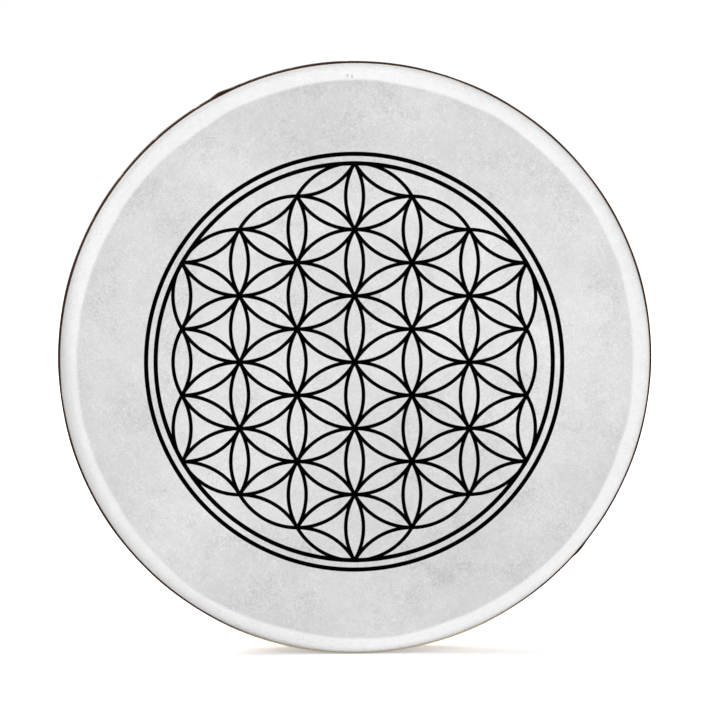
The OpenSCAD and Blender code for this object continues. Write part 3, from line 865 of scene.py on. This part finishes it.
def rounded(before, corner, after, radius, steps):
    """Points of a route's corner, rounded to a radius."""
    come = (corner - before).normalized()
    go = (after - corner).normalized()
    bend = acos(come.dot(go))
    side = (go - come * come.dot(go)).normalized()
    return arc(corner - come * radius * tan(bend / 2) + side * radius, -side, come, radius, 0, bend, steps)


def evened(points, step):
    """The same route with points an even step apart."""
    lengths = [0]
    for a, b in zip(points, points[1:]):
        lengths.append(lengths[-1] + (b - a).length)
    count = round(lengths[-1] / step)
    made = []
    i = 0
    for k in range(count + 1):
        at = lengths[-1] * k / count
        while i < len(points) - 2 and lengths[i + 1] < at:
            i += 1
        made.append(points[i].lerp(points[i + 1], (at - lengths[i]) / (lengths[i + 1] - lengths[i])))
    return made


def twisted(route, strands, out, lay, start, splay_out=0):
    """Routes of the strands that are laid up around one route, which may part a little at its ends."""
    made = [[] for k in range(strands)]
    side = (route[1] - route[0]).orthogonal()
    run = 0
    for i, p in enumerate(route):
        way = (route[min(i + 1, len(route) - 1)] - route[max(i - 1, 0)]).normalized()
        side = (side - way * way.dot(side)).normalized()
        up = way.cross(side)
        run += (p - route[max(i - 1, 0)]).length
        from_end = min(i, len(route) - 1 - i) / (len(route) - 1)
        reach_out = out + splay_out * (1 - smooth(from_end, 0, splay_share))
        for k in range(strands):
            a = start + 2 * pi * (k / strands + run / lay)
            made[k].append(p + reach_out * (cos(a) * side + sin(a) * up))
    return made


loop_at = Vector((strand_x, 0, ring_r))
bight_at = Vector((0, -strand_x, 0))
half_route = [tail_end]
half_route += rounded(tail_end, flare_back, loop_end, bend_at_whip_r, bend_points)
half_route += arc(loop_at, inward, upward, loop_r, flare_turn, -pi - flare_turn, loop_points)
half_route += rounded(loop_start, flare, fork, bend_at_whip_r, bend_points)
half_route += rounded(flare, fork, leg_top, bend_at_whip_r, bend_points)
half_route += arc(corner_at, across, upward, corner_r, -leg_lean, pi / 2 - corner_turn, corner_points)
half_route += arc(bight_at, upward, across, bight_r, corner_turn, 0, bight_points)[1:]
mirrored = [Vector((-p.x, p.y, p.z)) for p in half_route[-2::-1]]
cord_route = evened(half_route + mirrored, cord_step)
arms = {"top": 0, "right": pi / 2, "bottom": pi, "left": 3 * pi / 2}


def yarn_ridges(tree, route, lay, count, hollow):
    """The yarns that wind round each strand along a route: 1 on a yarn, and 0 in the hollow between two."""
    length = sum((b - a).length for a, b in zip(route, route[1:]))
    uv = add(tree, "SeparateXYZ", {0: add(tree, "TexCoord", {}).outputs["UV"]}).outputs
    wind = add(tree, "Math", {0: uv["Y"], 1: -length / lay * count}, operation="MULTIPLY")
    wind = add(tree, "Math", {0: uv["X"], 1: count, 2: wind}, operation="MULTIPLY_ADD")
    ridge = add(tree, "Math", {0: wind, 1: 0.5}, operation="PINGPONG")
    return add(tree, "MapRange", {0: ridge, 1: 0, 2: hollow}, interpolation_type="SMOOTHSTEP")


# Natural cotton cord: soft, matt and creamy, with the hollows between the yarns of each strand painted
# darker, as painted shade, in fine slanting stripes that are drawn half again as wide as they are, and a
# little grey dust in patches.
cotton = material("natural_cotton_cord")
yarn = cotton.node_tree
yarns = 7
yarn_lay = 9 * mm
fluff_w = 0.7 * mm
dust_w = 18 * mm
yarn_h = 0.12 * mm
place = add(yarn, "TexCoord", {}).outputs["Object"]
ridge = yarn_ridges(yarn, cord_route, yarn_lay, yarns, 0.3)
fluff = add(yarn, "TexNoise", {"Vector": place, "Scale": 1 / fluff_w, "Detail": 4})
dust = add(yarn, "TexNoise", {"Vector": place, "Scale": 1 / dust_w, "Detail": 3})
# Painted shade in the hollows between the yarns
tone = add(yarn, "Mix", {0: ridge, 6: linear("#b8a57f"), 7: linear("#e2d4b2")}, data_type="RGBA")
tone = add(yarn, "Mix", {0: add(yarn, "MapRange", {0: fluff, 1: 0.4, 2: 0.8, 4: 0.35}), 6: tone,
                         7: linear("#f0e6cc")}, data_type="RGBA")
tone = add(yarn, "Mix", {0: add(yarn, "MapRange", {0: dust, 1: 0.45, 2: 0.75, 4: 0.3}), 6: tone,
                         7: linear("#a8967a")}, data_type="RGBA")
relief = add(yarn, "Math", {0: fluff, 1: 0.5, 2: ridge}, operation="MULTIPLY_ADD")
nap = add(yarn, "Bump", {"Height": relief, "Distance": yarn_h, "Strength": 0.7})
skin = add(yarn, "BsdfPrincipled", {"Base Color": tone, "Roughness": 0.9, "Specular IOR Level": 0.2,
                                    "Sheen Weight": 0.2, "Sheen Roughness": 0.6, "Normal": nap})
add(yarn, "OutputMaterial", {0: skin})
for name, turn_to in arms.items():
    place_arm = Matrix.Rotation(turn_to, 3, "Y")
    strands = twisted(cord_route, 3, strand_out, lay_l, turn_to, splay)
    strands = [[place_arm @ p for p in strand] for strand in strands]
    cord = laid(f"arm_cord_{name}_laid", strands, strand_r, 2, cotton)
    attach(cord, "root")
    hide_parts(f"arm_cord_{name}")

# Arm whippings
# Waxed brown twine, two plies twisted together, wound eight times around the four strands of an arm and
# pulled tight, which holds the cut ends of the cord.
whip_r = whip_d / 2
whip_bend_r = cord_r + cord_gap + whip_r
ply_r = 0.64 * mm
ply_out = 0.56 * mm
ply_lay = 5.5 * mm
corner_steps = 6
whip_step = 0.6 * mm
side_l = 2 * strand_x
quarter_l = whip_bend_r * pi / 2 + side_l
rise_l = whip_d + whip_gap
whip_route = []
for quarter in range(4 * whip_turns):
    start_turn = quarter * pi / 2
    middle = strand_x * sqrt(2) * Vector((cos(start_turn + pi / 4), sin(start_turn + pi / 4), 0))
    for i in range(corner_steps + 1):
        a = start_turn + pi / 2 * i / corner_steps
        climb = quarter + whip_bend_r * pi / 2 / quarter_l * i / corner_steps
        spot = middle + whip_bend_r * Vector((cos(a), sin(a), 0))
        whip_route.append(spot + Vector((0, 0, whip_start_z + rise_l / 4 * climb)))
whip_route = evened(whip_route, whip_step)

# Waxed brown twine: dark, with the hollows between the yarns on each ply painted darker, as painted shade, in
# fine slanting stripes, with a waxy glint, and paler lint where the wax has rubbed off.
twine_finish = material("waxed_brown_twine")
twine = twine_finish.node_tree
ply_yarns = 5
ply_yarn_lay = 4 * mm
lint_w = 1.2 * mm
ply_yarn_h = 0.1 * mm
place = add(twine, "TexCoord", {}).outputs["Object"]
ridge = yarn_ridges(twine, whip_route, ply_yarn_lay, ply_yarns, 0.35)
lint = add(twine, "TexNoise", {"Vector": place, "Scale": 1 / lint_w, "Detail": 4})
# Painted shade in the hollows between the yarns
tone = add(twine, "Mix", {0: ridge, 6: linear("#2e1a0d"), 7: linear("#573519")}, data_type="RGBA")
tone = add(twine, "Mix", {0: add(twine, "MapRange", {0: lint, 1: 0.5, 2: 0.8, 4: 0.5}), 6: tone,
                          7: linear("#7d5734")}, data_type="RGBA")
nap = add(twine, "Bump", {"Height": ridge, "Distance": ply_yarn_h, "Strength": 0.6})
skin = add(twine, "BsdfPrincipled", {"Base Color": tone, "Roughness": 0.55, "Normal": nap})
add(twine, "OutputMaterial", {0: skin})
for name, turn_to in arms.items():
    place_arm = Matrix.Rotation(turn_to, 3, "Y")
    plied = [[place_arm @ p for p in ply] for ply in twisted(whip_route, 2, ply_out, -ply_lay, turn_to)]
    whipping = laid(f"arm_whipping_{name}_twine", plied, ply_r, 1, twine_finish)
    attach(whipping, "root")
    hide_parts(f"arm_whipping_{name}")

# Studio
# A wide white floor that the drum stands on, a white surround, and soft lamps. The camera is where the
# photograph was taken from: in front, a little above and to the left. A lamp has its place, width and watts.
floor_z = cad_box[0].z
floor_size = 30
ambient = 0.42
near_glow = 0.47
far_glow = 0.7
glow_start = 0.3
glow_end = 1.2
view_w = 481.1 * mm
camera_far = 4
camera_rise = radians(4.1)
camera_left = radians(3.4)
aim = Vector((1.13 * mm, -20 * mm, 3.88 * mm))


def seen_rays(tree):
    """1 for what the camera sees, itself or in a reflection or through glass, and 0 for light."""
    rays = add(tree, "LightPath", {}).outputs
    seen = add(tree, "Math", {0: rays["Is Camera Ray"], 1: rays["Is Glossy Ray"]}, operation="MAXIMUM")
    return add(tree, "Math", {0: seen, 1: rays["Is Transmission Ray"]}, operation="MAXIMUM")


paper = material("white_floor_paper")
paper_tree = paper.node_tree
place = add(paper_tree, "TexCoord", {}).outputs["Object"]
out = add(paper_tree, "VectorMath", {0: place}, operation="LENGTH")
# The floor glows for what the camera sees, as painted light: less near the drum, where it lightens the drum's
# shadow, and more farther out, where the lamps' light falls off
whiten = add(paper_tree, "MapRange", {0: out, 1: glow_start, 2: glow_end, 3: near_glow, 4: far_glow},
             interpolation_type="SMOOTHSTEP")
glow = add(paper_tree, "Math", {0: seen_rays(paper_tree), 1: whiten}, operation="MULTIPLY")
skin = add(paper_tree, "BsdfPrincipled", {"Base Color": linear("#f4f4f4"), "Roughness": 1,
                                          "Specular IOR Level": 0, "Emission Color": (1, 1, 1, 1),
                                          "Emission Strength": glow})
add(paper_tree, "OutputMaterial", {0: skin})
floor_shape = bmesh.new()
bmesh.ops.create_grid(floor_shape, x_segments=1, y_segments=1, size=floor_size,
                      matrix=Matrix.Translation((0, 0, floor_z)))
floor = shown("studio_floor", floor_shape, paper)

world = bpy.data.worlds.new("white_surround")
world.use_nodes = True
world.node_tree.nodes.clear()
sky = world.node_tree
strength = add(sky, "MapRange", {0: seen_rays(sky), 3: ambient, 4: 1})
back = add(sky, "Background", {"Color": (1, 1, 1, 1), "Strength": strength})
add(sky, "OutputWorld", {0: back})
bpy.context.scene.world = world

lamps = {"key": ((0.8, -7.4, 2.9), 3.8, 310), "fill": ((0.5, -6.8, 0.9), 2.6, 41),
         "back": ((-1.6, 2.6, 2), 1.8, 95)}
for name, (spot_at, width, watts) in lamps.items():
    lamp = bpy.data.objects.new(name + "_lamp", bpy.data.lights.new(name + "_lamp", "AREA"))
    lamp.data.size = width
    lamp.data.energy = watts
    lamp.location = spot_at
    lamp.rotation_euler = (-Vector(spot_at)).to_track_quat("-Z", "Y").to_euler()
    bpy.context.scene.collection.objects.link(lamp)

camera = bpy.data.objects.new("camera", bpy.data.cameras.new("camera"))
camera.data.lens = camera.data.sensor_width * camera_far / view_w
look_from = Matrix.Rotation(-camera_left, 3, "Z") @ Vector((0, -cos(camera_rise), sin(camera_rise)))
camera.location = aim + camera_far * look_from
camera.rotation_euler = (-look_from).to_track_quat("-Z", "Y").to_euler()
bpy.context.scene.collection.objects.link(camera)
bpy.context.scene.camera = camera
bpy.context.scene.view_settings.view_transform = "Standard"
